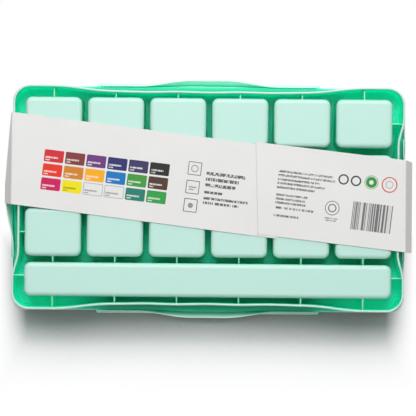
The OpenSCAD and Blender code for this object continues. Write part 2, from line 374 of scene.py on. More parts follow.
@dataclass(frozen=True)
class Gouache:
    """Thick matt paint that has settled with faint swirls and a few bubbles."""

    number: int
    code: str
    darker: float = 0.78
    lighter: float = 1.1

    def material(self) -> bpy.types.Material:
        """Builds the material.

        Returns:
            The material.
        """
        material, graph = new_graph(f"gouache_{self.number:02d}")
        place = graph.place()
        warp = graph.noise(place, 60.0, 2.0)
        swirl = graph.noise(graph.vector(warp, graph.noise(place, 23.0), warp * 0.5), 7.0, 4.0)
        base = linear(self.code)[:3]
        dark = tuple(v * self.darker for v in base) + (1.0,)
        light = tuple(min(v * self.lighter + 0.01, 1.0) for v in base) + (1.0,)
        bubbles = graph.noise(place, 420.0) * 0.3
        shader = graph.shader(
            Base_Color=graph.mix(swirl, dark, light),
            Roughness=0.42 + swirl * 0.2,
            Normal=graph.bump(swirl + bubbles, 0.0004, 0.5),
        )
        graph.end(shader)
        return material


@dataclass(frozen=True)
class SealFilm:
    """Peel-off film: silvery white, with a printed patch and frame in the colour of its paint."""

    name: str = "seal_film"
    patch: Pair = (15.0, 11.5)
    frame: Pair = (19.3, 15.8)
    frame_line: float = 0.5

    def material(self) -> bpy.types.Material:
        """Builds the material.

        Returns:
            The material.
        """
        material, graph = new_graph(self.name)
        u, v = (abs(part) for part in graph.parts(graph.attribute("film_at", "Vector"))[:2])
        patch = (u < self.patch[0]) * (v < self.patch[1])
        outer, line = self.frame, self.frame_line
        frame_line = (u < outer[0]) * (v < outer[1]) * (1.0 - (u < outer[0] - line) * (v < outer[1] - line))
        crinkle = graph.noise(graph.place(), 210.0, 3.0, 0.6)
        film = graph.mix(crinkle, "#d9dcdc", "#f4f6f6")
        shader = graph.shader(
            Base_Color=graph.mix(patch.at_least(frame_line), film, graph.attribute("tint", "Color")),
            Roughness=0.22 + crinkle * 0.22,
            Metallic=0.25,
            Normal=graph.bump(crinkle, 0.0004, 0.6),
        )
        graph.end(shader)
        return material


def distance(u: Wire, v: Wire) -> Wire:
    """The length of a two-part vector."""
    return (u * u + v * v).root()


def window(u: Wire, v: Wire, left: float, right: float, bottom: float, top: float) -> Wire:
    """1 inside a box."""
    wide = abs(u - (left + right) / 2) < (right - left) / 2
    return wide * (abs(v - (bottom + top) / 2) < (top - bottom) / 2)


def rounded(u: Wire, v: Wire, half_u: float, half_v: float, radius: float) -> Wire:
    """1 inside a rounded rectangle about the origin."""
    return distance((abs(u) - (half_u - radius)).at_least(0.0), (abs(v) - (half_v - radius)).at_least(0.0)) < radius


class Sheet:
    """A card with its print so far: p runs along the band and q across it, from its middle."""

    def __init__(self, graph: Graph, paper: Wire) -> None:
        """Starts with bare paper.

        Args:
            graph: the card's graph.
            paper: the colour of bare paper.
        """
        self.graph, self.colour = graph, paper
        self.p, self.q, zone = graph.parts(graph.attribute("print_at", "Vector"))
        self.under = zone < 0.5
        self.over = (zone > 0.5) * (zone < 1.5)

    def lay(self, mask: Wire, ink: Any) -> None:
        """Prints an ink where a mask is 1."""
        self.colour = self.graph.mix(mask, self.colour, ink)

    def chance(self, u: Wire, v: Any, detail: float = 0.0) -> Wire:
        """Noise for breaking up bars."""
        return self.graph.noise(self.graph.vector(u, v), 1.0, detail)


@dataclass(frozen=True)
class PrintedCard:
    """The band's coated card and its print, laid out in millimetres from the band's middle.

    wide_bars and fine_bars are start, end, middle height and thickness. rings are centre, radius, width and colour.
    """

    name: str = "printed_card"
    paper: str = "#d8d7d5"
    ink: str = "#3c3d3f"
    pale: str = "#f2f2f0"
    grid_corner: Pair = (-133.1, 10.35)
    grid_pitch: Pair = (17.03, 11.3)
    swatch: Pair = (15.7, 9.75)
    dot_pitch: float = 15.0
    dot_radius: float = 5.4
    box_middle: float = -12.17
    box_tops: Point = (14.8, -0.2, -14.9)
    swatches: tuple[str, ...] = tuple(paint.printed for paint in Paint)
    wide_bars: tuple[tuple[float, float, float, float], ...] = (
        (-2.5, 29, 6.8, 2.6), (-2.5, 24, 2.2, 2.6), (-2.5, 22, -2.5, 2.6),
        (-2.5, 12, -8.3, 2.0), (-2.5, 33, -13.1, 2.0), (-2.5, 26, -16.75, 2.0),
    )  # fmt: skip
    fine_bars: tuple[tuple[float, float, float, float], ...] = (
        (54.8, 98.5, 15.75, 1.7), (54.8, 101, 12.6, 1.7), (54.8, 88.5, 9.3, 1.7), (54.8, 93, 6.2, 1.7),
        (54.8, 85, 2.9, 1.7), (54.8, 80, -3.1, 1.7), (54.8, 78.5, -6.3, 1.7), (54.8, 79.5, -9.4, 1.7),
        (54.8, 86, -13.4, 1.7), (54.8, 74.8, -19.75, 1.7), (95.5, 106, -17, 1.0), (96.5, 105, -18.7, 1.0),
    )  # fmt: skip
    rings: tuple[tuple[float, float, float, float, str], ...] = (
        (129.4, 15.6, 5.5, 0.5, "#3f8f48"), (129.4, 15.6, 4.4, 2.6, "#2f8a3c"),
        (144, 15.4, 6.3, 0.9, "#c8403a"), (144, 15.4, 3.0, 0.5, "#8f9092"),
        (100.75, -8.6, 5.8, 0.6, "#66676a"), (100.75, -8.6, 3.4, 0.9, "#66676a"),
        (107.0, 15.3, 4.2, 1.2, "#333436"), (117.0, 15.3, 4.2, 1.2, "#333436"),
    )  # fmt: skip

    def material(self) -> bpy.types.Material:
        """Builds the material.

        Returns:
            The material.
        """
        material, graph = new_graph(self.name)
        place = graph.place()
        fibre, cloud = graph.noise(place, 1400.0, 3.0, 0.7), graph.noise(place, 22.0, 2.0)
        sheet = Sheet(graph, graph.mix(cloud * 0.6 + fibre * 0.25, self.paper, "#e6e5e3"))
        for layer in (self._swatches, self._boxes, self._rows, self._seam, self._rings, self._stripes, self._top):
            layer(sheet)
        shader = graph.shader(
            Base_Color=sheet.colour,
            Roughness=0.5 + fibre * 0.12,
            Normal=graph.bump(fibre * 0.4 + cloud * 3.0, 0.00006, 0.6),
            Specular_IOR_Level=0.25,
        )
        graph.end(shader)
        return material

    def _swatches(self, sheet: Sheet) -> None:
        """Three rows of six colour swatches with faint broken bars.

        Args:
            sheet: the card so far.
        """
        (left, top), (pitch_p, pitch_q), (wide, high) = self.grid_corner, self.grid_pitch, self.swatch
        across, down = (sheet.p - left) / pitch_p, (top - sheet.q) / pitch_q
        column, row = across.floor(), down.floor()
        u, v = (across - column) * pitch_p, (down - row) * pitch_q
        inside = rounded(u - wide / 2, v - high / 2, wide / 2, high / 2, 1.0)
        in_rows = (across > 0.0) * (across < 6.0) * (down > 0.0) * (down < 3.0) * sheet.under
        index = (row * 6.0 + column + 0.5) / len(self.swatches)
        swatch = sheet.graph.bands(index, self.swatches)
        tints = [self.pale] * 13 + ["#2c2c22", "#4c4c50", "#4c4c50"] + [self.pale] * 2
        bars = window(u, v, 1.2, 11.2, 5.45, 6.75) + window(u, v, 1.2, 4.7, 7.6, 8.6)
        cut = (sheet.chance(sheet.p * 1.5, row * 3.1 + 0.7, 2.0) * 1.8 - 0.35).clamped(0.75)
        swatch = sheet.graph.mix(bars * cut, swatch, sheet.graph.bands(index, tints))
        edge = 1.0 - rounded(u - wide / 2, v - high / 2, wide / 2 - 0.45, high / 2 - 0.45, 0.7)
        swatch = sheet.graph.mix(edge * (index > 13.9 / 18) * (index < 16 / 18), swatch, "#97989a")
        sheet.lay(inside * in_rows, swatch)

    def _boxes(self, sheet: Sheet) -> None:
        """Three outlined boxes with a plain ring, two bars and a dot.

        Args:
            sheet: the card so far.
        """
        u = sheet.p - self.box_middle
        for kind, top in enumerate(self.box_tops):
            v = sheet.q - (top - 5.38)
            line = rounded(u, v, 5.42, 5.38, 0.7) * (1.0 - rounded(u, v, 4.8, 4.76, 0.4))
            if kind == 1:
                shape = window(u, v, -3.0, 3.0, -0.5, 0.5) + window(u, v, -3.0, 1.0, -2.4, -1.5)
            else:
                far = distance(u, v)
                shape = far < 2.1 if kind else abs(far - 2.6) < 0.35
            sheet.lay((line + shape * 0.75).at_most(1.0) * sheet.under, "#5a5b5d")

    def _rows(self, sheet: Sheet) -> None:
        """Rows of broken bars.

        Args:
            sheet: the card so far.
        """
        line = (sheet.q / 3.15).floor()
        runs = sheet.chance(sheet.p * 0.42, line * 3.7, 1.0) > 0.36
        fine = sheet.chance((sheet.p * 1.9).floor() * 0.77, line * 5.1) > 0.46
        bold = sheet.chance((sheet.p * 1.25).floor() * 0.77, line * 4.3) > 0.42
        rows = self._bars(sheet, self.wide_bars) * (0.25 + bold * 0.65)
        rows = rows + self._bars(sheet, self.fine_bars) * (0.3 + fine * 0.55)
        sheet.lay(rows * runs * sheet.under, self.ink)

    def _bars(self, sheet: Sheet, bars: Sequence[tuple[float, float, float, float]]) -> Wire:
        """Where some bars are.

        Args:
            sheet: the card so far.
            bars: start, end, middle height and thickness of each.

        Returns:
            1 on the bars.
        """
        masks = [
            window(sheet.p, sheet.q, start, end, middle - thick / 2, middle + thick / 2)
            for start, end, middle, thick in bars
        ]
        return sum(masks[1:], masks[0])

    def _seam(self, sheet: Sheet) -> None:
        """The thin shadow of the glued lap."""
        sheet.lay((abs(sheet.p + sheet.q * 0.146 - 39.0) < 0.3) * sheet.under * 0.35, "#8d8d8d")

    def _rings(self, sheet: Sheet) -> None:
        """Plain rings.

        Args:
            sheet: the card so far.
        """
        for ring_p, ring_q, radius, width, code in self.rings:
            far = distance(sheet.p - ring_p, sheet.q - ring_q)
            sheet.lay((abs(far - (radius - width / 2)) < width / 2) * sheet.under, code)

    def _stripes(self, sheet: Sheet) -> None:
        """A grey field of plain upright stripes of uneven width.

        Args:
            sheet: the card so far.
        """
        box = window(sheet.p, sheet.q, 117, 149, -23.5, -1.1) * sheet.under
        dark = sheet.chance((sheet.p * 1.7).floor() * 0.61, 4.2) > 0.5
        sheet.lay(box * (0.16 + dark * 0.7), "#3f4144")

    def _top(self, sheet: Sheet) -> None:
        """The unseen top side: a row of round colour dots between two thin rules.

        Args:
            sheet: the card so far.
        """
        count, pitch, radius = len(self.swatches), self.dot_pitch, self.dot_radius
        across = (sheet.p + count * pitch / 2) / pitch
        column = across.floor()
        far = distance((across - column - 0.5) * pitch, sheet.q)
        in_row = (across > 0.0) * (across < float(count))
        dot_ink = sheet.graph.bands((column + 0.5) / count, self.swatches)
        sheet.lay((far < radius) * in_row * sheet.over, dot_ink)
        sheet.lay((abs(far - (radius - 0.1)) < 0.22) * in_row * sheet.over * 0.6, "#8d8f90")
        rules = (abs(abs(sheet.q) - 14.0) < 0.5) * (abs(sheet.p) < 133.0)
        sheet.lay(rules * sheet.over, "#1f9a78")


# --------------------------------------------------------------------------- meshes


def arc(radius: float, start: float, end: float, count: int) -> list[Pair]:
    """Offsets (across, up) along an arc, from one angle in degrees to another in so many steps."""
    angles = [math.radians(start + (end - start) * i / count) for i in range(count + 1)]
    return [(radius * math.cos(a), radius * math.sin(a)) for a in angles]


def swell(s: float, full: float, end: float) -> float:
    """1 up to full either side of the middle, and 0 past the end."""
    share = min(max((end - abs(s)) / (end - full), 0.0), 1.0)
    return (1 - math.cos(math.pi * share)) / 2


def new_object(name: str, data: Any) -> bpy.types.Object:
    """Makes an object in the scene.

    Args:
        name: its name.
        data: its mesh, camera or lamp.

    Returns:
        The object.
    """
    made = bpy.data.objects.new(name, data)
    bpy.context.scene.collection.objects.link(made)
    return made


def mark(mesh: bpy.types.Mesh, name: str, kind: str, values: Any) -> None:
    """Gives a mesh's points an attribute."""
    key = {"FLOAT": "value", "FLOAT_VECTOR": "vector", "FLOAT_COLOR": "color"}[kind]
    mesh.attributes.new(name, kind, "POINT").data.foreach_set(key, np.ravel(values).astype(np.float32))


@dataclass
class Outline:
    """A rounded rectangle that matched rings of points are drawn from."""

    length: float
    width: float
    radius: float
    centre: Pair = (0.0, 0.0)
    steps: int = 8

    def corner(self, quarter: int, grow: float, z: float) -> list[Point]:
        """The points of one corner, anticlockwise.

        Args:
            quarter: 0 to 3, anticlockwise from +X +Y.
            grow: how far the outline stands out from its own size.
            z: the height.

        Returns:
            The points.
        """
        radius = max(self.radius + grow, 0.25)
        x = (1, -1, -1, 1)[quarter] * (self.length / 2 + grow - radius)
        y = (1, 1, -1, -1)[quarter] * (self.width / 2 + grow - radius)
        angles = [(quarter + i / self.steps) * math.pi / 2 for i in range(self.steps + 1)]
        cx, cy = self.centre
        return [(cx + x + radius * math.cos(a), cy + y + radius * math.sin(a), z) for a in angles]

    def ring(self, grow: float, z: float) -> list[Point]:
        """A ring of points all round, grown by an amount, at a height."""
        return [point for quarter in range(4) for point in self.corner(quarter, grow, z)]


@dataclass
class BowedOutline(Outline):
    """The case's outline, whose sides can bow inwards behind the finger wings."""

    long_bow: Pair = (72.0, 127.0)
    short_bow: Pair = (43.0, 66.0)
    depth: float = 4.33
    ripple: float = 0.22
    ripple_pitch: float = 49.8
    spacing: float = 2.6

    def ring(self, grow: float, z: float, bow: float = 0.0) -> list[Point]:
        """A ring with points along its sides too, anticlockwise.

        Args:
            grow: how far the outline stands out.
            z: the height.
            bow: 1 to follow the bows and 0 to run straight.

        Returns:
            The points.
        """
        points = []
        for quarter in range(4):
            points += self.corner(quarter, grow, z)
            long_side, sign = quarter % 2 == 0, 1 if quarter < 2 else -1
            half = (self.length if long_side else self.width) / 2 - self.radius
            count = int(2 * half / self.spacing)
            for i in range(1, count):
                s = half - 2 * half * i / count
                if long_side:
                    wave = self.ripple * math.cos(2 * math.pi * s / self.ripple_pitch)
                    inward = (self.depth + wave) * swell(s, *self.long_bow) * bow
                    points.append((sign * s, sign * (self.width / 2 + grow - inward), z))
                else:
                    inward = self.depth * swell(s, *self.short_bow) * bow
                    points.append((-sign * (self.length / 2 + grow - inward), sign * s, z))
        return points


class Profile:
    """A section that is carried round an outline: rings in order, each with its depth of painted light and shade."""

    def __init__(self, outline: Outline) -> None:
        """Starts with no ring."""
        self.outline = outline
        self.rings: Rings = []

    def add(self, hollow: float, *spots: tuple[float, ...]) -> "Profile":
        """Adds rings of one depth, each given as what the outline's ring() takes."""
        self.rings += [(self.outline.ring(*spot), hollow) for spot in spots]
        return self

    def bend(
        self, hollow: float, grow: float, z: float, radius: float, turn: Turn, *bow: float, fade: float = 0.0
    ) -> "Profile":
        """Adds rings along an arc.

        Args:
            hollow: the depth of painted light and shade.
            grow: where the arc's centre is, as a ring stands out.
            z: the centre's height.
            radius: of the arc.
            turn: first and last angle, and the count of steps.
            *bow: the outline's bow, where it has one.
            fade: how much of the depth is gone at the end.

        Returns:
            This profile.
        """
        for i, (across, up) in enumerate(arc(radius, *turn)):
            self.add(hollow - fade * i / turn[2], (grow + across, z + up, *bow))
        return self


class Shell:
    """A mesh in the making, in millimetres."""

    def __init__(self) -> None:
        """Starts with nothing."""
        self.bm = bmesh.new()
        self.depth = self.bm.verts.layers.float.new("hollow")

    def ring(self, points: Sequence[Point], hollow: float) -> Ring:
        """Adds points that share one depth of painted light and shade.

        Args:
            points: the places.
            hollow: the depth of painted light and shade.

        Returns:
            The mesh's points.
        """
        verts = [self.bm.verts.new(p) for p in points]
        for vert in verts:
            vert[self.depth] = hollow
        return verts

    def bridge(self, first: Ring, second: Ring, closed: bool = True) -> None:
        """Joins two rings of the same length with four-sided faces.

        Args:
            first: one ring.
            second: the other ring.
            closed: whether they go all the way round.
        """
        count = len(first)
        for i in range(count if closed else count - 1):
            j = (i + 1) % count
            self.bm.faces.new((first[i], first[j], second[j], second[i]))

    def loft(self, rings: Rings, cap_start: bool = False, cap_end: bool = False) -> tuple[Ring, Ring]:
        """Joins rings in order.

        Args:
            rings: points and depth of painted light and shade of each ring.
            cap_start: whether the first ring is filled.
            cap_end: whether the last ring is filled.

        Returns:
            The first and the last ring.
        """
        made = [self.ring(points, hollow) for points, hollow in rings]
        self.join(made)
        if cap_start:
            self.bm.faces.new(made[0][::-1])
        if cap_end:
            self.bm.faces.new(made[-1])
        return made[0], made[-1]

    def join(self, rings: Sequence[Ring], closed: bool = True) -> None:
        """Bridges each ring to the next."""
        for first, second in zip(rings, rings[1:]):
            self.bridge(first, second, closed)

    def planes(self, loops: Sequence[tuple[Ring, Ring]]) -> None:
        """Fills two flat regions.

        Args:
            loops: a ring for each region, first of its outline and then of each hole.
        """
        for side in zip(*loops):
            edges = [self.bm.edges.get((v, loop[(i + 1) % len(loop)])) for loop in side for i, v in enumerate(loop)]
            bmesh.ops.triangle_fill(self.bm, use_beauty=True, use_dissolve=False, edges=edges)

    def finish(
        self, name: str, material: bpy.types.Material, smooth_angle: float = 34.0, heal: float = 0.0005
    ) -> bpy.types.Object:
        """Makes the object.

        Args:
            name: of the piece.
            material: its finish.
            smooth_angle: edges sharper than this stay hard.
            heal: distance within which points are merged, in millimetres.

        Returns:
            The object, in metres and in place.
        """
        bmesh.ops.remove_doubles(self.bm, verts=self.bm.verts, dist=heal)
        bmesh.ops.recalc_face_normals(self.bm, faces=self.bm.faces)
        bmesh.ops.scale(self.bm, vec=(MM, MM, MM), verts=self.bm.verts)
        mesh = bpy.data.meshes.new(name)
        self.bm.to_mesh(mesh)
        self.bm.free()
        mesh.polygons.foreach_set("use_smooth", [True] * len(mesh.polygons))
        mesh.set_sharp_from_angle(angle=math.radians(smooth_angle))
        mesh.materials.append(material)
        return new_object(name, mesh)


def settle(piece: bpy.types.Object, body: Body, slot: str, *nodes: str) -> None:
    """Hands a finished piece to the frame.

    Args:
        piece: the object.
        body: what it moves with.
        slot: the record's material slot; not used.
        *nodes: the CAD nodes that it stands for.
    """
    if nodes:
        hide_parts(*nodes)
    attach(piece, body.value)
    LOG.info("%s: %d faces on %s", piece.name, len(piece.data.polygons), body.value)


# --------------------------------------------------------------------------- sub-assemblies


@dataclass
class Layout:
    """The sizes that several sub-assemblies share."""

    case_l: float = 314.3
    case_w: float = 180.2
    corner_r: float = 14.0
    well_l: float = 45.1
    well_w: float = 38.6
    well_r: float = 5.2
    column_pitch: float = 49.8
    row_pitch: float = 44.5
    first_row_y: float = 61.0
    trough_y: float = -65.85
    trough_l: float = 294.1
    trough_w: float = 26.9
    wall: float = 1.3
    deck_z: float = 30.0
    lid_top_z: float = 40.3
    columns: int = 6
    rows: int = 3

    def cup_place(self, number: int) -> Pair:
        """The plan place of a cup, counted from the back row, from -X to +X."""
        row, column = divmod(number - 1, self.columns)
        return (column - (self.columns - 1) / 2) * self.column_pitch, self.first_row_y - row * self.row_pitch

    def numbers(self) -> range:
        """The cups' numbers."""
        return range(1, self.columns * self.rows + 1)


@dataclass
class Tray:
    """The moulded tray: deck, rim, skirt, wells, trough, and the ribs that join them."""

    layout: Layout
    finish: MouldedPlastic
    skirt_t: float = 1.7
    skirt_z: float = 1.4
    deck_lip: float = 0.4
    rim_z: float = 35.5
    rim_in: float = 0.4
    floor_z: float = 0.9
    bottom_fillet: float = 3.4
    inside_fillet: float = 2.2
    root: float = 0.8
    hold: float = 0.3
    rib_z: float = 3.0
    rib_t: float = 1.1
    rib_half: float = 0.62
    rib_edge: float = 0.5
    rib_climb: float = 2.6
    rib_gap: float = 0.6
    rib_bite: float = 0.4
    rib_hollow: Pair = (0.27, 0.9)
    rib_pale: float = 3.2
    rib_fade: float = 20.0

    def __post_init__(self) -> None:
        """Draws the case's outline."""
        lay = self.layout
        self.outline = BowedOutline(lay.case_l, lay.case_w, lay.corner_r, steps=12)
        self.under = lay.deck_z - lay.wall

    def build(self) -> None:
        """Builds the shell and the ribs and gives them to the base."""
        lay, material, shell = self.layout, self.finish.material(), Shell()
        pockets = [Outline(lay.well_l, lay.well_w, lay.well_r, lay.cup_place(number)) for number in lay.numbers()]
        pockets.append(Outline(lay.trough_l, lay.trough_w, lay.well_r, (0.0, lay.trough_y)))
        shell.planes([self._border(shell)] + [self._pocket(shell, outline) for outline in pockets])
        settle(shell.finish("tray_shell", material), Body.BASE, "tray_plastic", "base_tray")
        settle(self._ribs(material), Body.BASE, "tray_plastic")

    def _border(self, shell: Shell) -> tuple[Ring, Ring]:
        """The skirt, the edge of the deck and the rim.

        Args:
            shell: the mesh in the making.

        Returns:
            The rings that bound the deck's underside and its top.
        """
        deck, under, lip, wall = self.layout.deck_z, self.under, self.deck_lip, self.layout.wall
        half_t, inner, rim = self.skirt_t / 2, -self.rim_in - wall, -self.rim_in
        low = self.skirt_z + half_t
        # Hollow values paint light and shade: deep green up the skirt's inside and under the deck, pale on its foot
        # and outside.
        profile = Profile(self.outline)
        profile.add(1.0, (-self.skirt_t - self.root - self.hold, under, 1))
        profile.bend(1.0, -self.skirt_t - self.root, under - self.root, self.root, (90, 0, 4), 1)
        for z, hollow in ((22, 0.95), (14, 0.85), (8, 0.7), (4.5, 0.5), (low + 0.4, 0.3)):
            profile.add(hollow, (-self.skirt_t, z, 1))
        profile.bend(0.0, -half_t, low, half_t, (180, 360, 8), 1)
        for z, hollow in ((low + 0.5, 0.08), (9, 0.2), (20, 0.27), (under - 0.5, 0.34)):
            profile.add(hollow, (0, z, 1))
        profile.add(1.25, (0.0, under, 1), (0.1, under, 0.5)).add(1.15, (lip - 0.2, under))
        profile.add(0.4, (lip, under + 0.2), (lip, deck - 0.2), (lip - 0.2, deck), (0.1 + rim, deck))
        profile.add(0.35, (rim, deck + 0.2), (rim, self.rim_z - 0.4))
        profile.bend(0.2, rim - wall / 2, self.rim_z - wall / 2, wall / 2, (0, 180, 6))
        profile.add(0.45, (inner, self.rim_z - 0.9), (inner, deck + 0.6), (inner - 0.2, deck + 0.2))
        profile.add(0.45, (inner - 0.6, deck), (inner - 0.6 - self.hold, deck))
        return shell.loft(profile.rings)

    def _pocket(self, shell: Shell, outline: Outline) -> tuple[Ring, Ring]:
        """One well: its outside hangs under the deck and its inside opens in the deck's top.

        Args:
            shell: the mesh in the making.
            outline: the well's outline.

        Returns:
            The loops in the deck's underside and in its top.
        """
        deck, under, wall, floor = self.layout.deck_z, self.under, self.layout.wall, self.floor_z
        fillet, round_in = self.bottom_fillet, self.inside_fillet
        # Hollow values paint light and shade: deep green up the well's outside near the deck, pale on its bottom.
        outside = Profile(outline).add(1.0, (self.root + self.hold, under))
        outside.bend(1.0, self.root, under - self.root, self.root, (90, 180, 4))
        for z, hollow in ((20, 0.95), (12, 0.82), (7, 0.6), (floor + fillet + 0.3, 0.2)):
            outside.add(hollow, (0.15 * (z - floor) / (under - floor) + 0.05, z))
        outside.bend(0.05, 0.05 - fillet, floor + fillet, fillet, (0, -90, 7), fade=0.05)
        outside.add(0.0, (-fillet - self.hold, floor))
        inside = Profile(outline).add(0.45, (self.hold + 0.5 - wall, deck))
        inside.add(0.4, (0.5 - wall, deck), (0.15 - wall, deck - 0.15), (-wall, deck - 0.5))
        inside.add(0.5, (-wall - 0.1, 15), (-wall - 0.1, floor + wall + round_in + 0.2))
        inside.bend(0.5, -round_in - wall - 0.1, floor + wall + round_in, round_in, (0, -90, 5))
        inside.add(0.5, (-wall - round_in - 0.1 - self.hold, floor + wall))
        return shell.loft(outside.rings, cap_end=True)[0], shell.loft(inside.rings, cap_end=True)[0]

    def _rib_starts(self) -> list[tuple[float, float, float, float]]:
        """Works out the ribs.

        Returns:
            X and Y of each rib's end at the well, its length, and its turn in radians.
        """
        lay, outline, ribs, quarter, bite = self.layout, self.outline, [], math.pi / 2, self.rib_bite
        back = lay.first_row_y + lay.well_w / 2 - bite
        last = lay.first_row_y - 2 * lay.row_pitch - lay.well_w / 2 + bite
        front, rear = lay.trough_y - lay.trough_w / 2 + bite, lay.trough_y + lay.trough_w / 2 - bite
        for column in range(lay.columns):
            x = lay.cup_place(column + 1)[0]
            inward = (outline.depth - outline.ripple) * swell(x, *outline.long_bow)
            reach = lay.case_w / 2 - inward - self.skirt_t / 2
            ribs.append((x, back, reach - back, quarter))
            ribs.append((x, last, last - rear, -quarter))
            ribs.append((x, front, reach + front, -quarter))
        end = lay.trough_l / 2 - bite
        for y in [lay.first_row_y - row * lay.row_pitch for row in range(lay.rows)] + [lay.trough_y + 3]:
            reach = lay.case_l / 2 - outline.depth * swell(y, *outline.short_bow) - self.skirt_t / 2
            ribs += [(end, y, reach - end, 0.0), (-end, y, reach - end, math.pi)]
        return ribs

    def _blade(self) -> bpy.types.Object:
        """One rib of unit length along X: its lower edge is rounded and climbs away from the well.

        Returns:
            The blade, which only the tree uses.
        """
        shell, stations, half, edge = Shell(), [], self.rib_half, self.rib_edge
        top = self.layout.deck_z - self.rib_gap
        for s in (0.0, 0.25, 0.5, 0.75, 1.0):
            low = self.rib_z + self.rib_climb * s * s
            section = [(s, across, low + edge + up) for across, up in arc(edge, 180, 360, 6)]
            stations.append(shell.ring([(s, -half, top)] + section + [(s, half, top)], 0.0))
        shell.join(stations)
        shell.bm.faces.new(stations[0])
        shell.bm.faces.new(stations[-1][::-1])
        return shell.finish("rib_blade", bpy.data.materials.new("rib_blank"))

    def _rib_tree(self) -> bpy.types.NodeTree:
        """The Geometry Nodes tree that stands a blade on each point.

        Returns:
            The tree.
        """
        tree = bpy.data.node_groups.new("tray_rib_tree", "GeometryNodeTree")
        kinds = {"Geometry": "Geometry", "Blade": "Object", "Thickness": "Float", "Finish": "Material"}
        for name, kind in kinds.items():
            tree.interface.new_socket(name, in_out="INPUT", socket_type=f"NodeSocket{kind}")
        tree.interface.new_socket("Geometry", in_out="OUTPUT", socket_type="NodeSocketGeometry")
        graph = Graph(tree)
        inputs = graph.node("NodeGroupInput").outputs
        points, blade, thickness, finish = (Wire(graph, inputs[name]) for name in kinds)
        turn, length = (
            graph.wire("GeometryNodeInputNamedAttribute", {"Name": name}, "Attribute", data_type="FLOAT")
            for name in ("rib_turn", "rib_length")
        )
        stood = {
            "Points": points,
            "Instance": graph.wire("GeometryNodeObjectInfo", {"Object": blade}, "Geometry"),
            "Rotation": graph.vector(0.0, 0.0, turn),
            "Scale": graph.vector(length, thickness, 1.0),
        }
        ribs = graph.wire("GeometryNodeInstanceOnPoints", stood)
        ribs = graph.wire("GeometryNodeRealizeInstances", {"Geometry": ribs})
        ribs = graph.wire("GeometryNodeSetMaterial", {"Geometry": ribs, "Material": finish})
        graph.node("NodeGroupOutput", {"Geometry": ribs})
        return tree

    def _ribs(self, material: bpy.types.Material) -> bpy.types.Object:
        """All the ribs as one mesh in the tray's finish.

        Args:
            material: the tray's finish.

        Returns:
            The ribs.
        """
        ribs = self._rib_starts()
        mesh = bpy.data.meshes.new("tray_ribs")
        mesh.from_pydata([(x * MM, y * MM, 0.0) for x, y, _, _ in ribs], [], [])
        mark(mesh, "rib_length", "FLOAT", [rib[2] for rib in ribs])
        mark(mesh, "rib_turn", "FLOAT", [rib[3] for rib in ribs])
        made, blade = new_object("tray_ribs", mesh), self._blade()
        modifier = made.modifiers.new("ribs", "NODES")
        modifier.node_group = self._rib_tree()
        values = {"Blade": blade, "Thickness": self.rib_t, "Finish": material}
        for item in modifier.node_group.interface.items_tree:
            if item.in_out == "INPUT" and item.name in values:
                modifier[item.identifier] = values[item.name]
        graph = bpy.context.evaluated_depsgraph_get()
        result = bpy.data.meshes.new_from_object(made.evaluated_get(graph), depsgraph=graph)
        made.modifiers.clear()
        made.data = result
        bpy.data.objects.remove(blade)
        z = np.array([vert.co.z for vert in result.vertices]) / MM
        if "hollow" in result.attributes:
            result.attributes.remove(result.attributes["hollow"])
        # Painted light and shade on the ribs: pale along their lower edge, deeper green higher up towards the deck.
        pale, deep = self.rib_hollow
        mark(result, "hollow", "FLOAT", np.clip(pale + (z - self.rib_z - self.rib_pale) / self.rib_fade, pale, deep))
        return made


@dataclass(frozen=True)
class Wing:
    """The sizes of a finger wing: half its length, how far its edge stands out, and where its flare ends."""

    half: float
    reach: float
    flare: Pair


